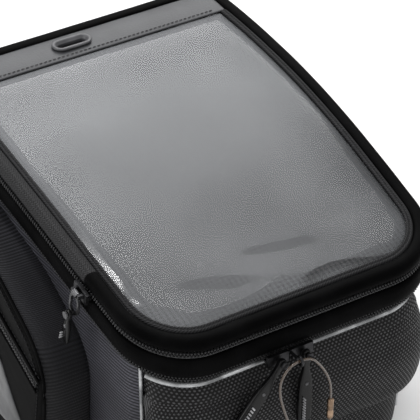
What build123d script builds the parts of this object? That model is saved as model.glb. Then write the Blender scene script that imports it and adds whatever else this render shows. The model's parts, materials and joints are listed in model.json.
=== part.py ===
from build123d import *
from math import cos, pi, radians, sin, tan
import os

os.makedirs("parts", exist_ok=True)

# Motorcycle tank bag. Millimetres, +Z up, -Y towards the rider, +X to the rider's right hand
# when facing forward. The origin is the centre of the quick-release ring's lower face.

# Plan of the bag
near_y = -137.0             # rider-side edge of the lid
far_y = 140.0               # forward edge of the lid
near_half = 104.0           # half widths at the rider side, the middle and the front
middle_half = 109.0
far_half = 106.0
middle_y = 20.0
near_corner = 45.0
far_corner = 22.0

# Side view of the deck: a straight slope towards the rider, then a bend to level at the front
near_top_z = 153.0
deck_slope = 13.3
bend_y = -40.0

# Depths below the deck surface of the layers of the lid
rim_depth = 8.0
zip_tape = 1.5
zip_gap = 0.3
map_zip_top = 8.3
valance_top = 13.5
lining_top = 20.0
board_top = 21.5
board_bottom = 24.0
valance_bottom = 26.0
main_zip_top = 26.3
body_top = 30.0

# Widths of the window's frame
rim_width = 9.0
binding_width = 4.0
film_far_y = 106.0
film_piping = 2.0
film_thickness = 0.5
valance_width = 4.0

# Body
base_top = 14.0
base_bottom = 10.0
floor_thickness = 4.0
body_inset_low = 13.0
body_inset_high = 5.0
body_loft_top = 215.0
wall_thickness = 5.0
liner_thickness = 1.5
near_seam_y = -108.0
far_seam_y = 118.0

# Quick-release ring and its latch
ring_outer = 72.0
ring_inner = 60.0
groove_radius = 62.5        # the ring is wider above the flange, where the latch reaches in
groove_low = 6.0
screw_circle = 66.0
screw_angles = (45, 135, 225, 315)
screw_radius = 2.0
screw_head = 3.6
head_seat = 3.6             # height of the screws' seats above the ring's face
base_plate_size = (164.0, 214.0)
base_plate_corner = 34.0
latch_half = 7.5
latch_low = 6.7
latch_high = 9.3

# Pockets
pocket_half = 100.0         # half width of the rider-end pocket
pocket_mouth = 107.0        # height of its open top
pocket_bottom = 50.0
pocket_belly = ((-135.5, 107.0), (-139.5, 84.0), (-138.0, 60.0))    # its front in side view
side_pocket_outline = ((-54, 24), (-59, 96), (-46, 116), (-4, 140), (45, 152), (100, 156), (104, 24))
gloss_outline = ((-40, 36), (-6, 84), (88, 116), (90, 36))
piping_depth = 35.5
pocket_face_x = 132.0
pocket_wall = 2.5
pocket_zip_middle = (0.0, 111.0)
pocket_zip_slope = 24.0
pocket_zip_length = 110.0
pocket_zip_width = 9.0

# Zip sliders, pulls and the lock cable
slider_half = 7.0
pivot_radius = 1.2
pivot_clearance = 0.3
left_slider_x = -22.0
right_slider_x = -5.0
left_pull_swing = 38.0
map_slider_y = -66.0
pocket_slider_offset = 44.0
cable_diameter = 1.6
cable_y = -148.5
eye_offset = -8.0
barrel_radius = 2.1

# Carry handle
handle_half = 58.0
handle_reach = 18.0
handle_low = 138.0
handle_high = 163.0
handle_thickness = 3.0


def deck_z(y):
    """Height of the deck's surface above a place along the bag."""
    if y <= bend_y:
        return near_top_z + (y - near_y) * tan(radians(deck_slope))
    radius = (far_y - bend_y) / sin(radians(deck_slope))
    start = near_top_z + (bend_y - near_y) * tan(radians(deck_slope))
    rise = y - far_y
    top = start + radius * (1 - cos(radians(deck_slope)))
    return top - radius + (radius**2 - rise**2) ** 0.5


def deck_curve(depth):
    """Places along the deck's curve, lowered by depth, from behind the bag to past its front."""
    places = (near_y - 60, bend_y, (bend_y + far_y) / 2, far_y + 30, far_y + 60)
    return [(y, deck_z(y) - depth) for y in places]


def band(top, bottom):
    """All the space between two depths below the deck, right across the bag."""
    upper = deck_curve(top)
    lower = deck_curve(bottom)
    edges = Line(upper[0], upper[1]) + ThreePointArc(upper[1], upper[2], upper[3])
    edges += Line(upper[3], upper[4]) + Line(upper[4], lower[4]) + Line(lower[4], lower[3])
    edges += ThreePointArc(lower[3], lower[2], lower[1]) + Line(lower[1], lower[0])
    edges += Line(lower[0], upper[0])
    return extrude(make_face(Plane.YZ * edges), 250, both=True)


def plan(inset):
    """Outline of the bag from above, drawn in by inset, with round corners."""
    near = (near_half - inset, near_y + inset)
    middle = (middle_half - inset, middle_y)
    far = (far_half - inset, far_y - inset)
    edges = Line((-near[0], near[1]), near) + ThreePointArc(near, middle, far)
    edges += Line(far, (-far[0], far[1]))
    edges += ThreePointArc((-far[0], far[1]), (-middle[0], middle[1]), (-near[0], near[1]))
    face = make_face(edges)
    face = fillet(face.vertices().sort_by(Axis.Y)[:2], near_corner - inset)
    return fillet(face.vertices().sort_by(Axis.Y)[-2:], max(far_corner - inset, 4.0))


def block(inset, low=0.0, high=260.0):
    """The plan, drawn in by inset, as an upright block."""
    return extrude(Pos(0, 0, low) * plan(inset), high - low)


def hoop(outer, inner, top, bottom):
    """A closed frame between two insets of the plan and two depths below the deck."""
    return (block(outer) - block(inner)) & band(top, bottom)


def behind(y):
    """The space forward of y."""
    return Pos(0, y + 200, 100) * Box(600, 400, 600)


def before(y):
    """The space on the rider's side of y."""
    return Pos(0, y - 300, 100) * Box(600, 600, 600)


def body_block(inset, low=base_top, high=body_loft_top):
    """The body's tapered block, drawn in by inset, between two heights."""
    lower = Pos(0, 0, base_top) * plan(body_inset_low + inset)
    upper = Pos(0, 0, body_loft_top) * plan(body_inset_high + inset)
    whole = loft([lower, upper], ruled=True)
    return whole & Pos(0, 0, (low + high) / 2) * Box(600, 600, high - low)


def bar(low, high):
    """A box between two opposite corners."""
    size = [h - l for l, h in zip(low, high)]
    middle = [(h + l) / 2 for l, h in zip(low, high)]
    return Pos(*middle) * Box(*size)


def rod(start, end, radius):
    """A round bar from start to end."""
    direction = Vector(*end) - Vector(*start)
    return extrude(Plane(start, z_dir=direction) * Circle(radius), direction.length)


def save(name, shape):
    """Write one named piece."""
    shape.label = name
    export_step(shape, f"parts/{name}.step")


# --- Window lid: rim, binding, clear film, forward band, grommet --------------------------------
def window_lid():
    grommet_at = (-9.0, 119.0)
    hole = (23.0, 8.0)
    rim = hoop(0, rim_width, 0, rim_depth)
    save("window_rim", rim)
    frame_outer = block(rim_width) & before(film_far_y + film_piping)
    frame_inner = block(rim_width + binding_width) & before(film_far_y)
    save("window_binding", (frame_outer - frame_inner) & band(0.5, 2.5))
    save("window_film", frame_inner & band(1.2, 1.2 + film_thickness))
    forward = block(rim_width) & behind(film_far_y + film_piping) & band(0.6, 2.2)
    place = Pos(grommet_at[0], grommet_at[1], deck_z(grommet_at[1]))
    forward -= place * extrude(SlotOverall(*hole), 10, both=True)
    save("forward_band", forward)
    flange = extrude(Pos(0, 0, 0.0) * SlotOverall(28, 12.5), 1.6)
    neck = extrude(Pos(0, 0, -3.6) * SlotOverall(hole[0] - 0.1, hole[1] - 0.1), 3.6)
    through = extrude(SlotOverall(18, 4.8), 10, both=True)
    save("cable_grommet", place * (flange + neck - through))


def zip_half(name, top, outward):
    """One tape of a zip that runs round three sides, with its coil on the outer edge."""
    tape = hoop(outward + 1.5, outward + 7.0, top, top + zip_tape) - behind(far_y - 30)
    coil = hoop(outward, outward + 1.5, top, top + zip_tape) - behind(far_y - 30)
    save(name + "_tape", tape)
    save(name + "_coil", coil)


# --- Main lid: side band, window-pocket floor ---------------------------------------------------
def main_lid():
    save("lid_side_band", hoop(0, valance_width, valance_top, valance_bottom))
    save("map_pocket_lining", block(valance_width) & band(lining_top, board_top))
    save("map_pocket_board", block(valance_width) & band(board_top, board_bottom))


# --- Body: walls, floor, liner ------------------------------------------------------------------
def body():
    under_lid = band(body_top, 400)
    shell = (body_block(0) - body_block(wall_thickness, base_top - 1, body_loft_top)) & under_lid
    save("near_panel", shell & before(near_seam_y))
    sides = (shell - before(near_seam_y)) - behind(far_seam_y)
    save("left_panel", sides & bar((-200, -200, 0), (0, 200, 300)))
    save("right_panel", sides & bar((0, -200, 0), (200, 200, 300)))
    save("far_panel", shell & behind(far_seam_y))
    floor_top = base_top + floor_thickness
    save("floor_panel", body_block(wall_thickness, base_top, floor_top))
    liner = body_block(wall_thickness, floor_top, body_loft_top)
    liner -= body_block(wall_thickness + liner_thickness, floor_top + liner_thickness, body_loft_top + 1)
    save("body_liner", liner & band(body_top + 4, 400))


# --- Underside: base plate, quick-release ring, screws, latch ------------------------------------
def underside():
    plate_outline = RectangleRounded(*base_plate_size, base_plate_corner)
    plate = extrude(Pos(0, 0, base_bottom) * plate_outline, base_top - base_bottom)
    ring = extrude(Circle(ring_outer), base_bottom)
    ring += bar((-latch_half - 4, -ring_outer - 6, 0), (latch_half + 4, -ring_inner, base_bottom))
    ring -= extrude(Circle(ring_inner), base_bottom)
    ring -= Pos(0, 0, groove_low) * extrude(Circle(groove_radius), base_bottom)
    ring -= bar((-latch_half - 0.4, -90, latch_low - 0.3), (latch_half + 0.4, -50, base_bottom))
    screws = []
    for angle in screw_angles:
        x = screw_circle * cos(radians(angle))
        y = screw_circle * sin(radians(angle))
        ring -= rod((x, y, -1), (x, y, head_seat), screw_head + 0.2)
        ring -= rod((x, y, 0), (x, y, 20), screw_radius + 0.05)
        plate -= rod((x, y, 0), (x, y, 20), screw_radius + 0.05)
        head = rod((x, y, head_seat - 2.4), (x, y, head_seat), screw_head)
        socket = extrude(Pos(x, y, 0) * RegularPolygon(1.5, 6), head_seat - 1)
        shank = rod((x, y, head_seat), (x, y, base_top - 0.1), screw_radius)
        screws.append(head + shank - socket)
    save("base_plate", plate)
    save("quick_release_ring", ring)
    save("ring_screws", Compound(children=screws))
    bolt = bar((-latch_half, -96, latch_low), (latch_half, -57.5, latch_high))
    bolt += bar((-latch_half - 6, -104, latch_low), (latch_half + 6, -92, latch_high))
    bolt -= bar((-latch_half, -101, latch_low - 1), (latch_half, -96, latch_high + 1))
    save("latch_bolt", bolt)


# --- Pockets ------------------------------------------------------------------------------------
def near_pocket():
    """A slip pocket across the rider's end, open along its top, and the piping above it."""
    def profile(front, low_back, top, back):
        edges = ThreePointArc(*front) + Line(front[2], low_back) + Line(low_back, (back, low_back[1]))
        edges += Line((back, low_back[1]), (back, top)) + Line((back, top), (front[0][0], top))
        if top > front[0][1]:
            edges += Line((front[0][0], top), front[0])
        return make_face(Plane.YZ * edges)

    low_y = -124.0
    inner_front = [(y + pocket_wall, z) for y, z in pocket_belly]
    inner_front[2] = (inner_front[2][0], pocket_belly[2][1] + 2)
    outer = profile(pocket_belly, (low_y, pocket_bottom), pocket_mouth, -111)
    outer = extrude(outer, pocket_half, both=True) & block(-3)
    inner = profile(inner_front, (low_y, pocket_bottom + 3), pocket_mouth + 5, -113)
    inner = extrude(inner, pocket_half - pocket_wall, both=True)
    save("near_pocket", outer - (inner & block(-0.5)) - body_block(0))
    piping = hoop(5.4, 9.0, piping_depth, piping_depth + 2.5) & before(near_seam_y - 1.6)
    save("reflective_piping", piping - body_block(0) - outer)


def mirrored(shape, sign):
    """The shape for the right side, or its mirror image for the left."""
    return shape if sign > 0 else mirror(shape, about=Plane.YZ)


def side_face(points, depth):
    """A flat outline in the YZ plane, thickened from the middle of the bag towards +X."""
    return extrude(make_face(Plane.YZ * Polyline(*points, close=True)), depth, dir=(1, 0, 0))


def side_pocket(side, sign):
    """A gusseted pocket on one side wall, a zip across its outer face and a glossy panel under that."""
    def slab(shrink, soft):
        face = make_face(Plane.YZ * Polyline(*side_pocket_outline, close=True))
        face = offset(face, -shrink) if shrink else face
        solid = extrude(fillet(face.vertices(), 9.0), pocket_face_x - shrink, dir=(1, 0, 0))
        return fillet(solid.faces().sort_by(Axis.X)[-1].edges(), soft)

    zip_place = Pos(pocket_face_x, *pocket_zip_middle) * Rot(X=pocket_zip_slope)
    mouth = zip_place * Box(12, pocket_zip_length, pocket_zip_width)
    strip = zip_place * Pos(-0.4, 0, 0) * Box(2.0, pocket_zip_length - 0.4, pocket_zip_width - 0.4)
    hollow = slab(0, 11.0) - slab(pocket_wall, 8.5) - mouth - body_block(0)
    glossy = fillet(side_face(gloss_outline, pocket_face_x + 1.0).edges().filter_by(Axis.X), 8.0)
    glossy -= bar((-1, -200, 0), (pocket_face_x, 200, 200))
    seam = (body_block(-1.5) - body_block(0)) & band(body_top + 2, 128)
    seam &= bar((20, near_seam_y - 1.3, 20), (200, near_seam_y + 1.3, 300))
    save(side + "_pocket", mirrored(hollow, sign))
    save(side + "_pocket_zip", mirrored(strip, sign))
    save(side + "_pocket_gloss_panel", mirrored(glossy, sign))
    save(side + "_corner_piping", mirrored(seam, sign))


# --- Zip sliders, pulls, lock cable ---------------------------------------------------------------
def pull(length, thickness, neck, tail):
    """A moulded pull in the XZ plane, hanging from its pivot at the origin, with ribs across its tip."""
    shoulder = -length * 0.3
    outline = (
        (-neck, 0), (neck, 0), (neck, shoulder), (tail, shoulder - 3),
        (tail, -length), (-tail, -length), (-tail, shoulder - 3), (-neck, shoulder),
    )
    solid = extrude(make_face(Plane.XZ * Polyline(*outline, close=True)), thickness / 2, both=True)
    solid += rod((0, -thickness / 2, 0), (0, thickness / 2, 0), pivot_radius + 1.6)
    for step in range(5):
        low = 3.0 + 4.0 * step - length
        solid -= bar((-20, -thickness, low), (20, 0.6 - thickness / 2, low + 1.6))
    return solid - rod((0, -20, 0), (0, 20, 0), pivot_radius + pivot_clearance)


def slider_body():
    """A slider on a zip along X whose halves meet at Z 0, seen from -Y: cover plate and lower flange."""
    cover = bar((-slider_half, -2.8, -5.5), (slider_half, -0.4, 1.9))
    return cover + bar((-slider_half, -0.4, -3.2), (slider_half, 2.3, -2.1))


def pivot_post(depth):
    """A headed post along -Y that a pull swings on, reaching out from Y 0 by depth."""
    return rod((0, 0, 0), (0, -depth, 0), pivot_radius) + rod((0, -depth, 0), (0, -depth - 1, 0), 2.4)


def main_sliders():
    height = deck_z(near_y) - main_zip_top - zip_tape - zip_gap / 2
    for side, x, swing in (("left", left_slider_x, left_pull_swing), ("right", right_slider_x, 0)):
        slider = slider_body() + Pos(0, -2.8, -2) * pivot_post(6.2)
        if side == "right":
            arm = cable_y - near_y
            slider += bar((eye_offset - 1, -2.8, -2.2), (-slider_half, -0.4, 1.9))
            slider += rod((eye_offset, -2.0, -0.5), (eye_offset, arm + 2.6, -0.5), 1.0)
            eye = Pos(eye_offset, arm, -0.5) * Rot(Y=90) * Torus(2.7, 0.9)
            slider += eye
        save(f"main_slider_{side}", Pos(x, near_y, height) * slider)
        place = Pos(x, near_y - 6.0, height - 2) * Rot(Y=swing)
        save(f"main_pull_{side}", place * pull(50, 4, 2.2, 5))
    return Vector(right_slider_x + eye_offset, cable_y, height - 0.5)


def map_slider():
    """The window pocket's slider on the left edge, with its wire loop on a pin and its pull."""
    arc = ThreePointArc((near_half, near_y), (middle_half, middle_y), (far_half, far_y))
    centre = arc.arc_center
    edge_x = centre.X + (arc.radius**2 - (map_slider_y - centre.Y) ** 2) ** 0.5
    height = deck_z(map_slider_y) - map_zip_top - zip_tape - zip_gap / 2
    place = Pos(-edge_x, map_slider_y, height) * Rot(X=deck_slope) * Rot(Z=-90)
    slider = slider_body()
    for x in (-3.4, 3.4):
        slider += bar((x - 0.7, -6.4, -2.6), (x + 0.7, -2.8, 0.6))
    slider += rod((-3.4, -5.2, -1), (3.4, -5.2, -1), 0.9)
    loop = extrude(Plane.XZ * (SlotOverall(16, 10, rotation=90) - SlotOverall(12.8, 6.8, rotation=90)), 1.6)
    loop = Pos(0, -4.4, -10.2) * loop
    loop += rod((-2.3, -5.2, -1), (2.3, -5.2, -1), 2.0)
    loop -= rod((-9, -5.2, -1), (9, -5.2, -1), 1.05)
    loop += Pos(0, -5.8, -17.4) * pivot_post(4.2)
    hang = Pos(0, -8.2, -17.4)
    save("map_slider", place * slider)
    save("map_slider_loop", place * loop)
    save("map_pull", place * hang * pull(24, 3, 2.2, 4.5))
    for name, spot in (("slider", Pos(0, 0, 0)), ("loop", Pos(0, -5.2, -1)), ("pull", hang)):
        print("map", name, "at", (place * spot).position)


def pocket_slider(side, sign):
    """A slider and pull on a side pocket's zip, near its forward end."""
    place = Pos(pocket_face_x + 0.9, *pocket_zip_middle) * Rot(X=pocket_zip_slope)
    place *= Pos(0, pocket_slider_offset, 0) * Rot(Z=90)
    slider = bar((-6, -2.4, -3.8), (6, 0, 3.8)) + Pos(0, -2.4, 0) * pivot_post(4.2)
    save(side + "_pocket_slider", mirrored(place * slider, sign))
    hang = place * Pos(0, -5.0, 0) * Rot(Y=pocket_zip_slope)
    save(side + "_pocket_pull", mirrored(hang * pull(32, 3, 2.2, 4.5), sign))
    print(side, "pocket pull hangs from", hang.position)


def lock_cable(eye):
    """A coated wire loop through the right slider's eye, its two ends screwed into one barrel."""
    top = (10.0, 87.0)
    low = (10.0, 73.0)
    route = (top, (10, 96.5), (6.5, 107), (1, 116.5), (-6, eye.Z), (-19, eye.Z), (-26, 116), (-26.5, 105),
             (-23, 92), (-18.5, 79), (-15.5, 65.5), (-8.5, 55), (2, 53.5), (10, 62), low)
    points = [(x, cable_y, z) for x, z in route]
    radii = []
    for before_point, point, after_point in zip(points, points[1:], points[2:]):
        arrive = Vector(*point) - Vector(*before_point)
        leave = Vector(*after_point) - Vector(*point)
        turn = arrive.get_angle(leave)
        radii.append(0.45 * min(arrive.length, leave.length) / tan(radians(turn / 2)))
    print("cable bend radii", [round(radius, 1) for radius in radii])
    path = FilletPolyline(*points, radius=radii)
    tube = sweep(Plane(points[0], z_dir=path % 0) * Circle(cable_diameter / 2), path=path)
    section = pi * (cable_diameter / 2) ** 2
    print("cable length", round(path.length, 1), "fill", round(tube.volume / section / path.length, 4))
    save("lock_cable", tube)
    barrel = rod((low[0], cable_y, low[1]), (top[0], cable_y, top[1]), barrel_radius)
    save("cable_barrel", barrel)


def carry_handle():
    """A webbing grip across the front wall, sewn on at both ends."""
    wall_y = far_y - 8.0

    def arch(half, reach):
        edges = ThreePointArc((-half, wall_y - 3), (0, wall_y + reach), (half, wall_y - 3))
        return make_face(edges + Line((half, wall_y - 3), (-half, wall_y - 3)))

    webbing = arch(handle_half, handle_reach) - arch(handle_half - 4, handle_reach - handle_thickness)
    strap = extrude(Pos(0, 0, handle_low) * webbing, handle_high - handle_low)
    save("carry_handle", strap - body_block(0))
    middle = (handle_low + handle_high) / 2
    patches = []
    for x in (-handle_half - 9, handle_half + 9):
        patch = bar((x - 8, far_y - 40, middle - 17), (x + 8, far_y + 20, middle + 17))
        patches.append((body_block(-1.2) & patch) - body_block(0))
    save("handle_patches", Compound(children=patches))


window_lid()
zip_half("map_zip_upper", map_zip_top, 1.0)
zip_half("map_zip_lower", map_zip_top + zip_tape + zip_gap, 1.0)
main_lid()
zip_half("main_zip_upper", main_zip_top, 2.0)
zip_half("main_zip_lower", main_zip_top + zip_tape + zip_gap, 2.0)
body()
underside()
near_pocket()
for side, sign in (("left", -1), ("right", 1)):
    side_pocket(side, sign)
    pocket_slider(side, sign)
map_slider()
lock_cable(main_sliders())
carry_handle()
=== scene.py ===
import json
from math import cos, pi, radians, sin, sqrt, tan

import bpy
from mathutils import Matrix, Vector, noise


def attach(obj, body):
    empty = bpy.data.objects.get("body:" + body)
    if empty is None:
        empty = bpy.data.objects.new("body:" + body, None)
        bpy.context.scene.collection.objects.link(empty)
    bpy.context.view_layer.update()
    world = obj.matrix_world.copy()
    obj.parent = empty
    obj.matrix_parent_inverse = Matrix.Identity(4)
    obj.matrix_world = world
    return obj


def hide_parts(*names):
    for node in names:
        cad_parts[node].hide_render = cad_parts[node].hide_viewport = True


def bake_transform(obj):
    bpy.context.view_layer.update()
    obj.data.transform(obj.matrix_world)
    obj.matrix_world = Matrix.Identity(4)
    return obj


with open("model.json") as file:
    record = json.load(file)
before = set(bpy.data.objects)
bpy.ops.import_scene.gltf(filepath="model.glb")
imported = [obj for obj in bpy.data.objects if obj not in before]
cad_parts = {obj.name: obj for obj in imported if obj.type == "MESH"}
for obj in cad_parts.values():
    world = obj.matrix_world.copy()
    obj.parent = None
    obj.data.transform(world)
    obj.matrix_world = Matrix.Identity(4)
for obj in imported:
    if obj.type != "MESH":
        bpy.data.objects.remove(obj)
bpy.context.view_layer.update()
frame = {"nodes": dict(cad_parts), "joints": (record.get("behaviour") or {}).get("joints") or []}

# ---------------------------------------------------------------------------------------------
# The bag's shape, in millimetres, as the CAD model has it
# ---------------------------------------------------------------------------------------------
MM = 0.001
NEAR_Y, FAR_Y = -137.0, 140.0
HALVES = ((104.0, NEAR_Y), (109.0, 20.0), (106.0, FAR_Y))
NEAR_CORNER, FAR_CORNER = 45.0, 22.0
DECK_NEAR_Z, DECK_SLOPE, BEND_Y = 153.0, radians(13.3), -40.0
WALL_LOW, WALL_HIGH = 14.0, 215.0
WALL_INSET_LOW, WALL_INSET_HIGH = 13.0, 5.0
FILM_FAR_Y = 106.0
POCKET_X = 132.0
MAP_SLIDER_Y = -66.0
BODY_TOP = 30.0             # depth of the walls' upper edge below the deck
MAIN_ZIP_Z = 125.05
CABLE_Y = -148.5
HINGE_Y = 139.0
CABLE_PORT = (-9.0, 119.0)
HANDLE_ZS = (138.4, 162.6)
STEPS = {"side": 44, "near corner": 18, "near": 26, "far corner": 8, "far": 30}


def deck_z(y):
    """Height of the deck's surface."""
    start = DECK_NEAR_Z + (BEND_Y - NEAR_Y) * tan(DECK_SLOPE)
    if y <= BEND_Y:
        return start + (y - BEND_Y) * tan(DECK_SLOPE)
    radius = (FAR_Y - BEND_Y) / sin(DECK_SLOPE)
    return start + radius * (1 - cos(DECK_SLOPE)) - radius + sqrt(radius**2 - (y - FAR_Y) ** 2)


def side_x(y, inset):
    """Half width of the bag at y, on the arc through the three half widths."""
    (ax, ay), (bx, by), (cx, cy) = [(x - inset, y_) for x, y_ in HALVES]
    ay, cy = ay + inset, cy - inset
    det = 2 * ((bx - ax) * (cy - ay) - (by - ay) * (cx - ax))
    b = bx * bx - ax * ax + by * by - ay * ay
    c = cx * cx - ax * ax + cy * cy - ay * ay
    ox = (b * (cy - ay) - c * (by - ay)) / det
    oy = (c * (bx - ax) - b * (cx - ax)) / det
    return ox + sqrt((ax - ox) ** 2 + (ay - oy) ** 2 - (y - oy) ** 2)


def half_width(y, inset, far_inset=None):
    """Half width at y with the round corners counted."""
    edge = inset if far_inset is None else far_inset
    low_y = NEAR_Y + NEAR_CORNER
    radius = NEAR_CORNER - inset
    if y < low_y:
        return side_x(low_y, inset) - radius + sqrt(max(radius**2 - (low_y - y) ** 2, 0.0))
    radius = max(FAR_CORNER - edge, 4.0)
    high_y = FAR_Y - edge - radius
    if y > high_y:
        return side_x(high_y, inset) - radius + sqrt(max(radius**2 - (y - high_y) ** 2, 0.0))
    return side_x(y, inset)


def near_half_path(inset, end_y):
    """The left side from end_y to the middle of the rider's edge."""
    radius = NEAR_CORNER - inset
    cy = NEAR_Y + NEAR_CORNER
    cx = side_x(cy, inset) - radius
    points = []
    for i in range(STEPS["side"]):
        y = end_y + (cy - end_y) * i / STEPS["side"]
        points.append((-side_x(y, inset), y))
    for i in range(STEPS["near corner"]):
        a = pi / 2 * i / STEPS["near corner"]
        points.append((-cx - radius * cos(a), cy - radius * sin(a)))
    for i in range(STEPS["near"] // 2 + 1):
        points.append((-cx + 2 * cx * i / STEPS["near"], NEAR_Y + inset))
    return points


def u_path(inset, end_y=110.0):
    """Down the left side, round the rider's end and up the right side."""
    half = near_half_path(inset, end_y)
    return half + [(-x, y) for x, y in half[-2::-1]]


def loop_path(inset):
    """All the way round, from the left side and back to it."""
    radius = max(FAR_CORNER - inset, 4.0)
    cy = FAR_Y - inset - radius
    cx = side_x(cy, inset) - radius
    points = u_path(inset, cy)
    for i in range(1, STEPS["far corner"]):
        a = pi / 2 * i / STEPS["far corner"]
        points.append((cx + radius * cos(a), cy + radius * sin(a)))
    for i in range(STEPS["far"] + 1):
        points.append((cx - 2 * cx * i / STEPS["far"], FAR_Y - inset))
    for i in range(1, STEPS["far corner"] + 1):
        a = pi / 2 * i / STEPS["far corner"]
        points.append((-cx - radius * sin(a), cy + radius * cos(a)))
    return points


LOW_LOOP, HIGH_LOOP = loop_path(WALL_INSET_LOW), loop_path(WALL_INSET_HIGH)


def wall_point(k, z, out=0.0):
    """The body's outer surface at place k of the loop and height z, moved out by out."""
    t = (z - WALL_LOW) / (WALL_HIGH - WALL_LOW)
    low, high = Vector(LOW_LOOP[k]), Vector(HIGH_LOOP[k])
    place = low.lerp(high, t) + (high - low).normalized() * out
    return (place.x, place.y, z)


def wall_inset(z):
    """How far the wall at height z stands inside the edge of the deck."""
    return WALL_INSET_LOW - (WALL_INSET_LOW - WALL_INSET_HIGH) * (z - WALL_LOW) / (WALL_HIGH - WALL_LOW)


def smooth_step(a, b, x):
    t = min(max((x - a) / (b - a), 0.0), 1.0)
    return t * t * (3 - 2 * t)


def ripple(x, y, z, size, seed=0.0):
    """Smooth noise from -1 to 1 at a place in millimetres."""
    return noise.noise(Vector((x / size + seed, y / size - seed, z / size + 2 * seed)))


# ---------------------------------------------------------------------------------------------
# Making meshes
# ---------------------------------------------------------------------------------------------
def only(obj):
    """obj alone is selected and active."""
    bpy.ops.object.select_all(action="DESELECT")
    obj.select_set(True)
    bpy.context.view_layer.objects.active = obj
    return obj


def edit(obj, *steps):
    """Edit-mode steps on the whole of obj."""
    only(obj)
    bpy.ops.object.mode_set(mode="EDIT")
    bpy.ops.mesh.select_all(action="SELECT")
    for step in steps:
        step()
    bpy.ops.object.mode_set(mode="OBJECT")
    return obj


def modify(obj, kind, **settings):
    """One modifier, applied at once."""
    only(obj)
    modifier = obj.modifiers.new(kind.title(), kind)
    for key, value in settings.items():
        setattr(modifier, key, value)
    bpy.ops.object.modifier_apply(modifier=modifier.name)
    return obj


def subdivide(obj, levels=1):
    return modify(obj, "SUBSURF", levels=levels, render_levels=levels)


def cap_ends(obj):
    """A face over each open end."""
    return edit(obj, lambda: bpy.ops.mesh.select_all(action="DESELECT"), bpy.ops.mesh.select_non_manifold,
                bpy.ops.mesh.edge_face_add)


def cloth_grid(name, rows, closed=False, tube=False, inside=(0, 0, 80)):
    """A grid laid over rows of points: its seams are merged, and its faces point away from inside."""
    across, along = len(rows), len(rows[0])
    bpy.ops.object.select_all(action="DESELECT")
    bpy.ops.mesh.primitive_grid_add(x_subdivisions=along - 1, y_subdivisions=across - 1, size=1)
    obj = bpy.context.object
    obj.name = obj.data.name = name
    places = [Vector(p) * MM for row in rows for p in row]
    obj.data.vertices.foreach_set("co", [c for p in places for c in p])
    middle = across // 2 * along
    us, vs = [0.0], [0.0]
    for i in range(1, along):
        us.append(us[-1] + (places[middle + i] - places[middle + i - 1]).length)
    for j in range(1, across):
        vs.append(vs[-1] + (places[j * along + along // 2] - places[(j - 1) * along + along // 2]).length)
    uv = obj.data.uv_layers.active.data
    for loop in obj.data.loops:
        j, i = divmod(loop.vertex_index, along)
        uv[loop.index].uv = (us[i], vs[j])
    if closed or tube:
        edit(obj, lambda: bpy.ops.mesh.remove_doubles(threshold=1e-6))
    if tube:
        edit(obj, lambda: bpy.ops.mesh.normals_make_consistent(inside=False))
    else:
        core = Vector(inside) * MM
        lean = sum(p.normal.dot(p.center - core) * p.area for p in obj.data.polygons)
        if lean < 0:
            edit(obj, bpy.ops.mesh.flip_normals)
    only(obj)
    bpy.ops.object.shade_smooth()
    return obj


def shell(obj, thickness, levels=1):
    """Gives a sheet its thickness, inwards, and smooths it."""
    modify(obj, "SOLIDIFY", thickness=thickness * MM, offset=-1.0, use_even_offset=True)
    if levels:
        subdivide(obj, levels)
    only(obj)
    bpy.ops.object.shade_smooth()
    return obj


def swept(name, profile, path, closed, wobble, seed):
    """A closed profile of (inset, depth) pairs, carried along a path of the plan under the deck."""
    rows = []
    for inset, depth in list(profile) + [profile[0]]:
        row = []
        for x, y in path(inset):
            shift = wobble * ripple(x, y, depth * 3, 28.0, seed)
            row.append((x, y, deck_z(y) - depth + shift))
        rows.append(row)
    obj = cloth_grid(name, rows, closed=closed, tube=True)
    if not closed:
        cap_ends(obj)
    subdivide(obj)
    only(obj)
    bpy.ops.object.shade_smooth()
    return obj


def line_curve(name, points, closed=False):
    """A poly curve through points in millimetres, upright along its way."""
    data = bpy.data.curves.new(name, "CURVE")
    data.dimensions = "3D"
    data.twist_mode = "Z_UP"
    spline = data.splines.new("POLY")
    spline.points.add(len(points) - 1)
    for point, place in zip(spline.points, points):
        point.co = (*(c * MM for c in place), 1.0)
    spline.use_cyclic_u = closed
    obj = bpy.data.objects.new(name, data)
    bpy.context.scene.collection.objects.link(obj)
    return obj


def path_length(points):
    return sum((Vector(b) - Vector(a)).length for a, b in zip(points, points[1:]))


def tube(name, points, radius, sides=3):
    """A round piping along points."""
    curve = line_curve(name, points)
    curve.data.bevel_depth = radius * MM
    curve.data.bevel_resolution = sides
    curve.data.use_fill_caps = True
    only(curve)
    bpy.ops.object.convert(target="MESH")
    obj = bpy.context.object
    bpy.ops.object.shade_smooth()
    return obj


def row_of(name, size, pitch, points, soft=0.3, start=0.0):
    """One small rounded block, copied along points: a zip's turns or a seam's stitches."""
    bpy.ops.object.select_all(action="DESELECT")
    bpy.ops.mesh.primitive_cube_add(size=1)
    obj = bpy.context.object
    obj.name = obj.data.name = name
    length, width, height = size
    for vertex in obj.data.vertices:
        x, y, z = vertex.co
        vertex.co = ((x * length + length / 2 + start) * MM, y * width * MM, z * height * MM)
    edit(obj, lambda: bpy.ops.mesh.bevel(offset=min(size) * soft * MM, segments=1, affect="EDGES"))
    count = int((path_length(points) - start) / pitch)
    modify(obj, "ARRAY", count=count, use_relative_offset=False, use_constant_offset=True,
           constant_offset_displace=(pitch * MM, 0, 0))
    way = line_curve(name + "_way", points)
    modify(obj, "CURVE", object=way, deform_axis="POS_X")
    bpy.data.objects.remove(way)
    only(obj)
    bpy.ops.object.shade_smooth()
    return obj


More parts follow.
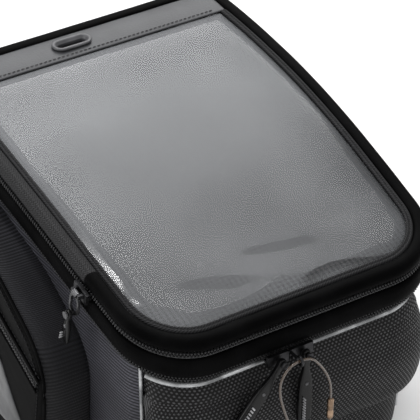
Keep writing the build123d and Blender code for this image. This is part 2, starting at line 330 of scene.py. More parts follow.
# ---------------------------------------------------------------------------------------------
# Making materials
# ---------------------------------------------------------------------------------------------
class Val:
    """A value socket that arithmetic works on."""

    def __init__(self, paint, socket):
        self.paint, self.socket = paint, socket

    def math(self, operation, *others):
        return self.paint.node("ShaderNodeMath", {"operation": operation}, self, *others)

    def __add__(self, other): return self.math("ADD", other)
    def __radd__(self, other): return self.math("ADD", other)
    def __sub__(self, other): return self.math("SUBTRACT", other)
    def __rsub__(self, other): return (self * -1.0).math("ADD", other)
    def __mul__(self, other): return self.math("MULTIPLY", other)
    def __rmul__(self, other): return self.math("MULTIPLY", other)

    def sin(self): return self.math("SINE")
    def fract(self): return self.math("FRACT")
    def floor(self): return self.math("FLOOR")
    def abs(self): return self.math("ABSOLUTE")
    def max(self, other): return self.math("MAXIMUM", other)

    def ramp(self, low, high):
        """0 below low, 1 above high, smooth between."""
        settings = {"interpolation_type": "SMOOTHSTEP"}
        return self.paint.node("ShaderNodeMapRange", settings, self, low, high, 0.0, 1.0)


class Paint:
    """A material with one Principled shader, and short ways to add nodes to it."""

    def __init__(self, name, colour, roughness, **sockets):
        self.material = bpy.data.materials.new(name)
        self.material.use_nodes = True
        self.tree = self.material.node_tree
        self.shader = self.tree.nodes["Principled BSDF"]
        self.set(Base_Color=(*colour, 1.0), Roughness=roughness, **sockets)

    def set(self, **sockets):
        for key, value in sockets.items():
            self.join(self.shader.inputs[key.replace("_", " ")], value)
        return self

    def join(self, socket, value):
        if isinstance(value, Val):
            self.tree.links.new(value.socket, socket)
        elif value is not None:
            socket.default_value = value

    def node(self, kind, settings, *values, out=0, **named):
        node = self.tree.nodes.new(kind)
        for key, value in settings.items():
            setattr(node, key, value)
        for socket, value in zip(node.inputs, values):
            self.join(socket, value)
        for key, value in named.items():
            self.join(node.inputs[key.replace("_", " ")], value)
        return Val(self, node.outputs[out])

    def place(self):
        return self.node("ShaderNodeTexCoord", {}, out="Object")

    def flat(self):
        return self.node("ShaderNodeTexCoord", {}, out="UV")

    def parts(self, vector):
        node = self.tree.nodes.new("ShaderNodeSeparateXYZ")
        self.tree.links.new(vector.socket, node.inputs[0])
        return [Val(self, s) for s in node.outputs]

    def noise(self, vector, size, detail=2.0, roughness=0.5):
        """Noise whose features are about size millimetres."""
        return self.node("ShaderNodeTexNoise", {}, Vector=vector, Scale=1.0 / (size * MM),
                         Detail=detail, Roughness=roughness)

    def mix(self, amount, low, high):
        """A colour between two."""
        node = self.tree.nodes.new("ShaderNodeMix")
        node.data_type = "RGBA"
        self.join(node.inputs[0], amount)
        self.join(node.inputs[6], low if isinstance(low, Val) else (*low, 1.0))
        self.join(node.inputs[7], high if isinstance(high, Val) else (*high, 1.0))
        return Val(self, node.outputs[2])

    def bump(self, height, strength, distance, normal=None):
        self.set(Normal=self.node("ShaderNodeBump", {}, Strength=strength, Distance=distance * MM,
                                  Height=height, Normal=normal))
        return self


GUSSET_TURN_Z = 0.112


def ribbed_fabric(name, pale, crowd=0.0):
    """Ribs at even heights. On a gusset they crowd above its turn, and painted shade makes it darker below
    the turn.
    """
    paint = Paint(name, (0.02, 0.02, 0.024), 0.6, Sheen_Weight=0.02, Specular_IOR_Level=0.3)
    place = paint.place()
    x, y, z = paint.parts(place)
    wave = paint.noise(place, 60.0, 1.0)
    rows = (z + (z - GUSSET_TURN_Z).max(0.0) * crowd) * (1 / 0.0023) + wave * 1.2
    rib = (rows * (2 * pi)).sin() * 0.5 + 0.5
    shift = (rows.floor() * 0.5).fract()
    thread = (((x + y) * (1 / 0.0016) + shift) * (2 * pi)).sin() * 0.5 + 0.5
    height = rib * (thread * 0.35 + 0.65)
    worn = paint.noise(place, 35.0, 3.0).ramp(0.35, 0.75)
    shown = height * (worn * 0.45 + 0.55)
    # Painted shade on the gusset: it fades darker from 135 mm down to 85 mm, and its darkest colour is darker
    # than the wall's.
    if crowd:
        shown = shown * (z.ramp(0.085, 0.135) * 0.85 + 0.15)
    colour = paint.mix(shown, (0.002, 0.002, 0.003) if crowd else (0.004, 0.004, 0.006), pale)
    paint.set(Base_Color=colour, Roughness=0.75 - height * 0.3)
    return paint.bump(height, 0.7, 0.5)


def dotted_fabric():
    paint = Paint("dotted fabric", (0.02, 0.02, 0.02), 0.5, Specular_IOR_Level=0.25)
    u, v, _ = paint.parts(paint.flat())
    rows = v * (1 / 0.0019)
    across = u * (1 / 0.0027) + (rows.floor() * 0.5).fract()
    du = (across.fract() - 0.5).abs() * 1.25
    dv = (rows.fract() - 0.5).abs()
    dot = 1.0 - (du * du + dv * dv).math("SQRT").ramp(0.22, 0.42)
    worn = paint.noise(paint.place(), 22.0, 3.0).ramp(0.3, 0.8)
    colour = paint.mix(dot * (worn * 0.4 + 0.6), (0.003, 0.003, 0.003), (0.09, 0.09, 0.093))
    paint.set(Base_Color=colour, Roughness=0.7 - dot * 0.32)
    return paint.bump(dot, 0.9, 0.5)


def smooth_fabric(name, colour, spec):
    paint = Paint(name, colour, 0.55, Specular_IOR_Level=spec)
    place = paint.place()
    x, y, z = paint.parts(place)
    turn = 2 * pi / 0.0009
    weave = (x * turn).sin() * (y * turn).sin() * ((z * turn).sin() * 0.5 + 0.75)
    cloud = paint.noise(place, 25.0, 3.0)
    pale = tuple(c * 1.8 + 0.002 for c in colour)
    paint.set(Base_Color=paint.mix(cloud.ramp(0.35, 0.8), colour, pale), Roughness=cloud * 0.25 + 0.42)
    return paint.bump(weave * 0.25 + cloud, 0.35, 0.5)


def twill(name, colour, pale, pitch, slant=1.0):
    """Diagonal ribs that follow the piece's own length."""
    paint = Paint(name, colour, 0.6, Specular_IOR_Level=0.2)
    u, v, _ = paint.parts(paint.flat())
    rib = ((u + v * slant) * (2 * pi / pitch / MM)).sin() * 0.5 + 0.5
    fine = (u * (2 * pi / 0.0007)).sin() * 0.5 + 0.5
    height = rib * (fine * 0.3 + 0.7)
    cloud = paint.noise(paint.place(), 18.0, 2.0)
    paint.set(Base_Color=paint.mix(height * (cloud * 0.6 + 0.55), colour, pale), Roughness=0.7 - height * 0.2)
    return paint.bump(height, 0.8, 0.4)


def herringbone(name, colour, pale, pitch=1.6, lane=2.2):
    """Zip tape: slanting ribs that turn back at each lane."""
    paint = Paint(name, colour, 0.65, Specular_IOR_Level=0.2)
    u, v, _ = paint.parts(paint.flat())
    fold = ((v * (1 / lane / MM)).fract() - 0.5).abs() * (2 * lane * MM)
    rib = ((u + fold) * (2 * pi / pitch / MM)).sin() * 0.5 + 0.5
    paint.set(Base_Color=paint.mix(rib, colour, pale), Roughness=0.72 - rib * 0.2)
    return paint.bump(rib, 0.8, 0.35)


def lining_fabric():
    paint = Paint("woven lining", (0.05, 0.052, 0.055), 0.6, Specular_IOR_Level=0.3)
    place = paint.place()
    x, y, z = paint.parts(place)
    warp = (x * (2 * pi / 0.0034)).sin()
    weft = ((y + z) * (2 * pi / 0.0034)).sin()
    cross = warp * 0.3 + weft * 0.2 + 0.5
    cloud = paint.noise(place, 45.0, 3.0).ramp(0.3, 0.75)
    paint.set(Base_Color=paint.mix(cross * (cloud * 0.5 + 0.5), (0.010, 0.011, 0.012), (0.044, 0.046, 0.05)),
              Roughness=0.65 - cross * 0.2)
    return paint.bump(cross, 0.15, 0.3)


def film_vinyl():
    # The film's pale grey, let through by Alpha, is partly its own haze and partly painted reflection of the
    # room's light.
    paint = Paint("clear film", (0.42, 0.43, 0.45), 0.1, IOR=1.5)
    place = paint.place()
    x, y, z = paint.parts(place)
    haze = paint.noise(place, 70.0, 3.0).ramp(0.3, 0.75)
    # Painted reflection: far thickens the grey cover towards the far left, where the film gives back more
    # light.
    far = (y * 4.6 - x * 1.2 + 0.47).ramp(0.0, 1.0)
    # Painted dark reflection: in a wavy band about 10 mm wide near the rider's end, the grey cover is almost
    # taken away, so the film shows dark as a fold reflecting something dark would.
    fold = (x * (2 * pi / 0.08) - 0.5).sin() * 0.0035 - 0.1175 - y
    dark_fold_reflection = fold.ramp(-0.0004, 0.0008) * (1.0 - fold.ramp(0.001, 0.011))
    dark_fold_reflection = dark_fold_reflection * x.ramp(0.002, 0.014) * (1.0 - x.ramp(0.06, 0.078))
    cover = (haze * 0.05 + far * 0.15 + 0.085) * (1.0 - dark_fold_reflection * 0.97)
    paint.set(Alpha=cover, Roughness=haze * 0.05 + 0.06)
    return paint.bump(haze, 0.08, 2.0)


def grained_vinyl():
    paint = Paint("satin grey vinyl", (0.08, 0.082, 0.087), 0.42, Coat_Weight=0.1, Coat_Roughness=0.3,
                  Specular_IOR_Level=0.2)
    place = paint.place()
    grain = paint.node("ShaderNodeTexVoronoi", {"feature": "SMOOTH_F1"}, Vector=place, Scale=1 / 0.0011)
    cloud = paint.noise(place, 30.0, 3.0)
    paint.set(Base_Color=paint.mix(cloud.ramp(0.3, 0.8), (0.045, 0.046, 0.05), (0.07, 0.072, 0.077)),
              Roughness=cloud * 0.15 + 0.32)
    return paint.bump(grain * 0.6 + cloud, 0.3, 0.4)


def moulded(name, colour, roughness=0.5, grain=0.9, strength=0.25, **sockets):
    """Moulded plastic or rubber with a fine spark-eroded grain."""
    paint = Paint(name, colour, roughness, **sockets)
    place = paint.place()
    spark = paint.noise(place, grain, 2.0)
    cloud = paint.noise(place, 14.0, 2.0)
    pale = tuple(c * 1.6 + 0.002 for c in colour)
    paint.set(Base_Color=paint.mix(cloud.ramp(0.4, 0.75), colour, pale),
              Roughness=cloud * 0.2 + roughness - 0.1)
    return paint.bump(spark, strength, 0.2)


def metal(name, colour, roughness, grain=1.2):
    paint = Paint(name, colour, roughness, Metallic=1.0)
    place = paint.place()
    scratch = paint.noise(place, grain, 4.0, 0.7)
    cloud = paint.noise(place, 6.0, 2.0)
    dull = tuple(c * 0.55 for c in colour)
    paint.set(Base_Color=paint.mix(cloud.ramp(0.35, 0.7), colour, dull),
              Roughness=scratch * 0.3 + roughness - 0.1)
    return paint.bump(scratch, 0.15, 0.15)


def silver_piping():
    paint = Paint("reflective piping", (0.42, 0.43, 0.44), 0.32, Metallic=0.5)
    place = paint.place()
    beads = paint.noise(place, 0.8, 2.0)
    patches = paint.noise(place, 16.0, 3.0).ramp(0.35, 0.7)
    paint.set(Base_Color=paint.mix(patches, (0.2, 0.205, 0.21), (0.62, 0.63, 0.64)),
              Roughness=beads * 0.3 + 0.2)
    return paint.bump(beads, 0.3, 0.3)


def glossy_panel():
    paint = Paint("glossy smoked film", (0.03, 0.032, 0.036), 0.09, Specular_IOR_Level=0.7)
    place = paint.place()
    cloud = paint.noise(place, 22.0, 2.0)
    scuff = paint.noise(place, 5.0, 4.0, 0.7).ramp(0.55, 0.8)
    paint.set(Base_Color=paint.mix(cloud.ramp(0.3, 0.75), (0.008, 0.0085, 0.0095), (0.036, 0.038, 0.043)),
              Roughness=cloud * 0.06 + scuff * 0.15 + 0.05)
    return paint.bump(cloud, 0.6, 3.0)


def coated_wire():
    paint = Paint("smoky coated wire", (0.1, 0.065, 0.04), 0.18, Coat_Weight=1.0, Coat_Roughness=0.05)
    x, y, z = paint.parts(paint.place())
    strand = ((x + z + y * 2.0) * (2 * pi / 0.0011)).sin() * 0.5 + 0.5
    paint.set(Base_Color=paint.mix(strand, (0.02, 0.012, 0.008), (0.12, 0.08, 0.055)),
              Roughness=0.32 - strand * 0.12)
    return paint.bump(strand, 0.3, 0.15)


RIBBED = ribbed_fabric("ribbed nylon", (0.08, 0.08, 0.1))
# The gusset's ribbed nylon is a darker copy of the ribbed nylon: painted shade.
SHADED_GUSSET = ribbed_fabric("ribbed gusset nylon in painted shade", (0.036, 0.036, 0.045), 2.6)
DOTTED = dotted_fabric()
SMOOTH = smooth_fabric("smooth fabric", (0.0008, 0.0008, 0.0009), 0.022)
BODY_BLACK = smooth_fabric("black shell fabric", (0.0012, 0.0012, 0.0013), 0.035)
BINDING = twill("twill binding", (0.004, 0.004, 0.0045), (0.022, 0.022, 0.024), 2.0)
WEBBING = twill("webbing", (0.01, 0.01, 0.011), (0.055, 0.055, 0.06), 1.7, 0.5)
TAPE = herringbone("zip tape", (0.0035, 0.0035, 0.0035), (0.032, 0.032, 0.034), 2.1, 3.0)
COIL = moulded("zip coil", (0.011, 0.011, 0.012), 0.36, 0.8, 0.1, Specular_IOR_Level=0.4)
THREAD = twill("black thread", (0.01, 0.01, 0.011), (0.06, 0.06, 0.064), 0.5, 2.0)
LINING = lining_fabric()
FILM = film_vinyl()
VINYL = grained_vinyl()
RUBBER = moulded("grommet rubber", (0.055, 0.055, 0.06), 0.42, 1.1, 0.2)
PULL = moulded("pull plastic", (0.002, 0.002, 0.0022), 0.3, 0.7, 0.1, Specular_IOR_Level=0.22)
GRIP = moulded("pull ribs", (0.3, 0.3, 0.31), 0.4, 0.7, 0.1)
BOARD = moulded("stiffener board", (0.03, 0.03, 0.03), 0.6, 1.5, 0.3)
PLATE = moulded("base plate plastic", (0.02, 0.02, 0.021), 0.45, 0.9, 0.35)
LATCH = moulded("latch plastic", (0.3, 0.02, 0.018), 0.4, 0.9, 0.2)
SLIDER = metal("plated slider", (0.05, 0.05, 0.053), 0.35)
WIRE_STEEL = metal("loop wire", (0.13, 0.13, 0.135), 0.3)
SCREW = metal("zinc screw", (0.5, 0.5, 0.51), 0.35)
BRASS = metal("barrel metal", (0.42, 0.29, 0.2), 0.3)
SILVER = silver_piping()
GLOSS = glossy_panel()
WIRE = coated_wire()


def wear(obj, paint):
    """obj has paint's material and no other."""
    obj.data.materials.clear()
    obj.data.materials.append(paint.material)
    return obj


def settle(obj, paint, body, slot=None, *nodes):
    """A finished piece: its material, its body and the CAD nodes it stands for. slot is not used."""
    wear(obj, paint)
    if body:
        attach(obj, body)
    if nodes:
        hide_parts(*nodes)
    return obj


# ---------------------------------------------------------------------------------------------
# Camera, light and floor
# ---------------------------------------------------------------------------------------------
camera_data = bpy.data.cameras.new("camera")
camera_data.sensor_width = 36.0
camera_data.lens = 219.8
camera_data.clip_end = 20.0
camera = bpy.data.objects.new("camera", camera_data)
camera.location = (-0.6847, -1.0877, 1.0390)
camera.rotation_euler = (radians(54.925), radians(-0.798), radians(-32.372))
bpy.context.scene.collection.objects.link(camera)
bpy.context.scene.camera = camera

world = bpy.data.worlds.new("studio")
world.use_nodes = True
world.node_tree.nodes["Background"].inputs[0].default_value = (1.0, 1.0, 1.0, 1.0)
world.node_tree.nodes["Background"].inputs[1].default_value = 0.6
bpy.context.scene.world = world
bpy.context.scene.view_settings.view_transform = "Standard"


def softbox(name, place, target, size, power):
    """A rectangular area light that looks at target."""
    data = bpy.data.lights.new(name, "AREA")
    data.shape = "RECTANGLE"
    data.size, data.size_y = size
    data.energy = power
    light = bpy.data.objects.new(name, data)
    light.location = place
    light.rotation_euler = (Vector(target) - Vector(place)).to_track_quat("-Z", "Y").to_euler()
    bpy.context.scene.collection.objects.link(light)


softbox("window light", (0.62, 0.78, 1.15), (0.0, 0.0, 0.16), (1.1, 1.1), 15.0)
softbox("strip light", (-0.22, 0.36, 1.45), (0.0, 0.0, 0.16), (0.16, 0.16), 4.5)
softbox("side light", (-1.3, 0.2, 0.9), (0.0, 0.0, 0.1), (0.7, 0.9), 9.0)
softbox("front light", (0.5, -1.6, 1.2), (0.0, 0.0, 0.1), (0.8, 0.5), 3.0)

bpy.ops.object.select_all(action="DESELECT")
bpy.ops.mesh.primitive_plane_add(size=8.0, location=(0, 0, -0.0005))
floor = bpy.context.object
floor.name = "studio_floor"
wear(floor, Paint("pale floor", (0.86, 0.86, 0.86), 0.7))

# ---------------------------------------------------------------------------------------------
# Lock cable: a coated wire loop through the right slider's eye, both ends in one barrel
# ---------------------------------------------------------------------------------------------
CABLE_ROUTE = ((10, 87), (10, 96.5), (6.5, 107), (1, 116.5), (-6, 124.55), (-19, 124.55), (-26, 116),
               (-26.5, 105), (-23, 92), (-18.5, 79), (-15.5, 65.5), (-8.5, 55), (2, 53.5), (10, 62), (10, 73))
cable_data = bpy.data.curves.new("lock_wire", "CURVE")
cable_data.dimensions = "3D"
cable_data.bevel_depth = 0.0008
cable_data.bevel_resolution = 5
cable_data.use_fill_caps = True
cable_line = cable_data.splines.new("NURBS")
cable_line.points.add(len(CABLE_ROUTE) - 1)
for point, (x, z) in zip(cable_line.points, CABLE_ROUTE):
    point.co = (x * MM, CABLE_Y * MM, z * MM, 1.0)
cable_line.order_u = 3
cable_line.use_endpoint_u = True
cable_line.resolution_u = 12
cable = bpy.data.objects.new("lock_wire", cable_data)
bpy.context.scene.collection.objects.link(cable)
settle(cable, WIRE, "lock_cable", "coated_wire", "lock_cable")


def barrel():
    """A turned barrel with two knurled collars and a waist between them."""
    x, low, high = 10.0, 73.0, 87.0
    outline = ((0.9, low - 0.4), (1.7, low), (2.1, low + 0.7), (2.1, low + 5.0), (1.75, low + 5.4),
               (1.75, low + 6.4), (2.1, low + 6.8), (2.1, high - 0.7), (1.7, high), (0.9, high + 0.4))
    rows = []
    for radius, z in outline:
        row = []
        for i in range(33):
            a = 2 * pi * i / 32
            groove = 0.12 if radius > 2 and i % 2 else 0.0
            row.append((x + (radius - groove) * cos(a), CABLE_Y + (radius - groove) * sin(a), z))
        rows.append(row)
    obj = cloth_grid("wire_barrel", rows, closed=True, inside=(x, CABLE_Y, 80))
    cap_ends(obj)
    return settle(obj, BRASS, "lock_cable", "barrel_brass", "cable_barrel")


wire_barrel = barrel()


# ---------------------------------------------------------------------------------------------
# Window lid
# ---------------------------------------------------------------------------------------------
def window_rim():
    """A rounded roll round the window. Along its left side the zip's tape covers it, up to the slider."""
    profile = ((9.0, 7.8), (9.2, 4.5), (9.0, 1.8), (7.6, 0.5), (5.4, 0.1), (3.2, 0.15), (1.3, 0.9),
               (0.2, 2.6), (0.0, 4.6), (0.5, 6.6), (1.8, 7.9), (5.0, 8.0))
    rim = swept("window_rim_roll", profile, loop_path, True, 0.35, 1.3)
    settle(rim, SMOOTH, "window_lid", "smooth_fabric", "window_rim")
    rim.data.materials.append(TAPE.material)
    for polygon in rim.data.polygons:
        x, y, _ = polygon.center
        polygon.material_index = int(x < -0.095 and MAP_SLIDER_Y * MM < y < 0.105)


def window_binding():
    """A binding folded over the film's edge, with a row of stitches in the groove along its middle."""
    profile = ((13.2, 2.6), (13.3, 1.4), (12.7, 0.6), (11.9, 0.4), (11.25, 0.75), (11.0, 1.15), (10.75, 0.75),
               (10.1, 0.4), (9.3, 0.6), (8.8, 1.4), (8.8, 2.6))
    binding = swept("window_binding_tape", profile, lambda inset: u_path(inset, 107.0), False, 0.12, 4.0)
    settle(binding, BINDING, "window_lid", "binding_tape", "window_binding")
    groove = [(x, y, deck_z(y) - 0.85) for x, y in u_path(11.0, 106.0)]
    stitches = row_of("window_binding_stitches", (2.3, 0.5, 0.45), 3.2, groove, 0.35)
    settle(stitches, THREAD, "window_lid", "binding_tape")


def wavy(x, y):
    """The film's slack, in millimetres."""
    edge = min(half_width(y, 13.0) - abs(x), y - (NEAR_Y + 13.0), FILM_FAR_Y - y)
    free = smooth_step(0.0, 24.0, edge)
    lip = 2.1 * smooth_step(-1.0, 8.0, edge)
    swell = 1.0 * ripple(x, y, 0, 80.0, 2.0) + 0.35 * ripple(x, y, 0, 36.0, 7.0)
    near_fold = 2.0 * smooth_step(-55, -95, y) * ripple(x + 20, y * 2.4, 0, 38.0, 5.0)
    return lip + free * (0.4 + swell + near_fold)


def window_film():
    tuck, rows = 12.6, []
    for j in range(66):
        y = NEAR_Y + tuck + (FILM_FAR_Y + 1.4 - NEAR_Y - tuck) * (j / 65) ** 1.05
        xs = [half_width(y, tuck) * (2 * i / 60 - 1) for i in range(61)]
        rows.append([(x, y, deck_z(y) - 3.0 + wavy(x, y)) for x in xs])
    film = cloth_grid("window_film_sheet", rows)
    shell(film, 0.35)
    settle(film, FILM, "window_lid", "clear_film", "window_film")


def forward_band():
    """The coated band across the forward end, slightly crowned, with the cable port's slot cut in it."""
    rows = []
    for j in range(15):
        y = FILM_FAR_Y + 0.6 + (FAR_Y - 8.6 - FILM_FAR_Y - 0.6) * j / 14
        half = half_width(y, 8.8)
        crown = deck_z(y) - 1.5 + 0.9 * sin(pi * j / 14)
        rows.append([(half * (2 * i / 60 - 1), y, crown + 0.15 * ripple(half * i / 30, y, 0, 18.0))
                     for i in range(61)])
    band = cloth_grid("forward_band_vinyl", rows)
    shell(band, 1.2)
    cutter = cap_ends(slot_rings("slot_cutter", [(3.6, 8.0), (3.6, -8.0)]))
    edit(cutter, bpy.ops.mesh.normals_make_consistent)
    modify(band, "BOOLEAN", operation="DIFFERENCE", object=cutter, solver="EXACT")
    bpy.data.objects.remove(cutter)
    settle(band, VINYL, "window_lid", "forward_vinyl", "forward_band")
    seam = [(x, FILM_FAR_Y + 3.2, deck_z(FILM_FAR_Y + 3.2) - 0.75) for x in range(-92, 93, 4)]
    stitches = row_of("forward_band_stitches", (2.2, 0.5, 0.45), 3.2, seam, 0.35)
    settle(stitches, THREAD, "window_lid", "forward_vinyl")


def slot_rings(name, profile):
    """Rings of the cable port's slot shape, each of its own radius and height above the deck."""
    (cx, cy), straight = CABLE_PORT, 7.4
    rows = []
    for radius, up in profile:
        row = []
        for i in range(41):
            a = 2 * pi * i / 40
            x = radius * cos(a) + (straight if cos(a) >= 0 else -straight)
            if abs(cos(a)) < 1e-6:
                x = 0.0
            row.append((cx + x, cy + radius * sin(a), deck_z(cy) + up))
        rows.append(row)
    return cloth_grid(name, rows, closed=True, inside=(cx, cy, deck_z(cy)))


def grommet():
    profile = ((4.0, -3.6), (4.1, -0.4), (6.1, -0.2), (6.5, 0.4), (6.2, 1.2), (5.4, 1.6), (4.4, 1.5),
               (3.6, 0.9), (3.2, 0.2), (2.6, -0.1), (2.4, -0.7), (2.4, -3.5), (4.0, -3.6))
    obj = slot_rings("cable_grommet_ring", profile)
    edit(obj, lambda: bpy.ops.mesh.normals_make_consistent(inside=False))
    subdivide(obj)
    settle(obj, RUBBER, "window_lid", "grommet_rubber", "cable_grommet")


# ---------------------------------------------------------------------------------------------
# Zips
# ---------------------------------------------------------------------------------------------
def zip_half(name, body, tape_profile, coil_inset, coil_depth, start, parted=None):
    """One side of a zip: a herringbone tape and its row of nylon turns.

    parted is how far the turns lie across and down, and how tall they are, where the zip is open.
    """
    rows = [[(x, y, deck_z(y) - depth) for x, y in u_path(inset)] for inset, depth in tape_profile]
    tape = cloth_grid(name + "_tape_cloth", rows)
    shell(tape, 0.6)
    settle(tape, TAPE, body, "zip_tape", name + "_tape")
    way = [(x, y, deck_z(y) - coil_depth) for x, y in u_path(coil_inset)]
    if parted:
        across, down, tall = parted
        first = next(k for k, (x, y, z) in enumerate(way) if y < MAP_SLIDER_Y)
        ladder = [(x + across, y, z + down) for x, y, z in way[:first + 1]]
        turns = row_of(name + "_parted_turns", (1.0, 2.0, tall), 2.0, ladder, 0.32, start)
        settle(turns, COIL, body, "zip_coil")
        way = way[first:]
    turns = row_of(name + "_turns", (1.15, 2.0, 1.45), 2.0, way, 0.32, start)
    settle(turns, COIL, body, "zip_coil", name + "_coil")


def zips():
    for name, body, tape_profile, *turns in (
            ("map_zip_upper", "window_lid", ((7.6, 8.1), (4.6, 8.3), (2.9, 8.8), (2.0, 9.6)),
             1.9, 9.15, 0.0, (-1.6, -0.1, 2.6)),
            ("map_zip_lower", "main_lid", ((2.0, 10.3), (2.9, 11.2), (3.5, 12.4), (3.7, 14.0)),
             1.9, 10.75, 1.0, (1.4, -1.6, 1.6)),
            ("main_zip_upper", "main_lid", ((3.4, 25.4), (3.5, 26.4), (3.2, 27.0), (2.6, 27.6)),
             2.7, 27.1, 0.0),
            ("main_zip_lower", "bag_body", ((2.6, 28.3), (3.6, 29.2), (6.2, 29.9), (9.4, 30.4)),
             2.7, 28.75, 1.0)):
        zip_half(name, body, tape_profile, *turns)


# ---------------------------------------------------------------------------------------------
# Main lid
# ---------------------------------------------------------------------------------------------
def lid_side_band():
    profile = ((4.0, 13.8), (2.4, 13.3), (0.9, 13.7), (0.1, 15.2), (-0.3, 18.0), (-0.4, 21.0), (0.0, 24.0),
               (0.9, 25.7), (2.4, 26.1), (4.0, 25.6), (4.3, 20.0))
    band = swept("lid_side_band_fabric", profile, loop_path, True, 0.3, 6.1)
    settle(band, SMOOTH, "main_lid", "smooth_fabric", "lid_side_band")


def map_lining():
    """The map pocket's floor: cloth drawn over the board, with a little slack."""
    inset, rows = 4.3, []
    for j in range(60):
        y = NEAR_Y + inset + (FAR_Y - inset - NEAR_Y - inset) * j / 59
        half, level = half_width(y, inset), deck_z(y) - 20.1
        rows.append([(half * (2 * i / 50 - 1), y, level + 0.5 * ripple(half * i / 25, y, 0, 40.0, 3.0))
                     for i in range(51)])
    lining = cloth_grid("map_pocket_lining_cloth", rows)
    shell(lining, 1.0)
    settle(lining, LINING, "main_lid", "woven_lining", "map_pocket_lining")


# ---------------------------------------------------------------------------------------------
# Body
# ---------------------------------------------------------------------------------------------
NEAR_SEAM_Y = -108.0
COUNT = len(LOW_LOOP)
NEAR_RUN = [k for k in range(COUNT) if HIGH_LOOP[k][1] < NEAR_SEAM_Y]
FAR_START = 2 * len(near_half_path(5.0, 100.0)) - 2
LEFT_RUN = list(range(0, NEAR_RUN[0] + 1))
RIGHT_RUN = list(range(NEAR_RUN[-1], FAR_START + 1))
FAR_RUN = list(range(FAR_START, COUNT - 1)) + [0]


def wall(name, run, swell, paint, slot, node, seed):
    """One soft wall panel between two seams, pulled in along its edges."""
    rows = []
    for j in range(29):
        t = j / 28
        row = []
        for n, k in enumerate(run):
            top = deck_z(HIGH_LOOP[k][1]) - BODY_TOP
            z = WALL_LOW + (top - WALL_LOW) * t
            u = n / (len(run) - 1)
            seam = min(smooth_step(0.0, 0.06, u), smooth_step(1.0, 0.94, u)) * smooth_step(0.0, 0.05, t)
            fold = ripple(*wall_point(k, z)[:2], z * 0.5, 42.0, seed)
            out = -0.6 + seam * (1.1 + swell * sin(pi * t) * (0.5 + sin(pi * u)) * 0.66 + 1.1 * fold)
            if run is NEAR_RUN:
                out += 5.2 * seam * smooth_step(84.0, 104.0, z) * smooth_step(116.5, 108.0, z)
            row.append(wall_point(k, z, out))
        rows.append(row)
    obj = cloth_grid(name, rows)
    shell(obj, 3.4)
    settle(obj, paint, "bag_body", slot, node)


def walls():
    wall("near_wall_panel", NEAR_RUN, 1.0, DOTTED, "dotted_fabric", "near_panel", 1.0)
    wall("left_wall_panel", LEFT_RUN, 2.4, RIBBED, "ribbed_fabric", "left_panel", 2.0)
    wall("right_wall_panel", RIGHT_RUN, 2.4, RIBBED, "ribbed_fabric", "right_panel", 3.0)
    wall("far_wall_panel", FAR_RUN, 1.5, RIBBED, "ribbed_fabric", "far_panel", 4.0)


def liner():
    """The main compartment's lining: a floor and walls in one slack sheet."""
    rows = []
    for s in (0.0, 0.2, 0.4, 0.6, 0.8, 0.93):
        rows.append([(x * s * 0.94, 1.5 + (y - 1.5) * s * 0.94,
                      19.0 + 0.6 * ripple(x * s, y * s, 0, 30.0, 8.0)) for x, y in LOW_LOOP])
    for j in range(18):
        row = []
        for k in range(COUNT):
            top = deck_z(HIGH_LOOP[k][1]) - BODY_TOP - 3.0
            z = 19.5 + (top - 19.5) * j / 17
            slack = 1.0 * ripple(*wall_point(k, z), 26.0, 9.0) * sin(pi * min(j / 17 + 0.02, 1.0))
            row.append(wall_point(k, z, -6.4 - abs(slack)))
        rows.append(row)
    obj = cloth_grid("body_lining", rows, closed=True, inside=(0, 0, 5))
    shell(obj, 0.6, 0)
    settle(obj, LINING, "bag_body", "woven_lining", "body_liner")


def floor_board():
    profile = ((0.0, 14.0), (0.9, 14.0), (0.985, 14.3), (1.0, 15.6), (0.985, 17.6), (0.9, 18.0),
               (0.0, 18.0))
    rows = [[(x * s * 0.955, 1.5 + (y - 1.5) * s * 0.962, z) for x, y in LOW_LOOP] for s, z in profile]
    obj = cloth_grid("floor_board", rows, closed=True, inside=(0, 0, 16))
    edit(obj, lambda: bpy.ops.mesh.normals_make_consistent(inside=False))
    settle(obj, BODY_BLACK, "bag_body", "smooth_fabric", "floor_panel")


# ---------------------------------------------------------------------------------------------
# Pockets, piping
# ---------------------------------------------------------------------------------------------
HEM_Z = 103.0


def near_pocket():
    """A slip pocket that bellies out over the rider's end, with a folded hem along its mouth."""
    run = [k for k in range(COUNT) if HIGH_LOOP[k][1] < -106.0]
    heights = ((50.5, 10.5), (52.0, 5.5), (55.0, 1.6), (60.0, -0.4), (67.0, -1.7), (75.0, -2.3),
               (84.0, -2.4), (92.0, -1.6), (98.0, -0.7), (102.0, 0.2), (105.0, 1.0), (107.0, 1.8),
               (107.6, 2.6), (106.6, 3.4))
    outer = loop_path(-3.0)
    rows = []
    for z, inset in heights:
        row = []
        for n, k in enumerate(run):
            u = n / (len(run) - 1)
            ends = min(smooth_step(0.0, 0.07, u), smooth_step(1.0, 0.93, u))
            fold = 1.2 * ripple(outer[k][0], 0, z * 1.6, 30.0, 3.0) * smooth_step(106, 96, z)
            crease = -1.3 * (1 - smooth_step(0.0, 5.0, abs(z - 99.0 + 0.03 * outer[k][0])))
            lean = 1.0 - 0.22 * smooth_step(94.0, 107.0, z)
            out = ((wall_inset(z) - inset) * lean + fold + crease) * ends + 0.2
            row.append(wall_point(k, z, out))
        rows.append(row)
    obj = cloth_grid("near_slip_pocket", rows)
    shell(obj, 2.0)
    settle(obj, DOTTED, "bag_body", "dotted_fabric", "near_pocket")
    hem = []
    for k in run[3:-3]:
        hem.append(wall_point(k, HEM_Z, wall_inset(HEM_Z) - 0.3))
    stitches = row_of("near_pocket_stitches", (2.2, 0.5, 0.5), 3.2, hem, 0.35)
    settle(stitches, THREAD, "bag_body", "dotted_fabric")


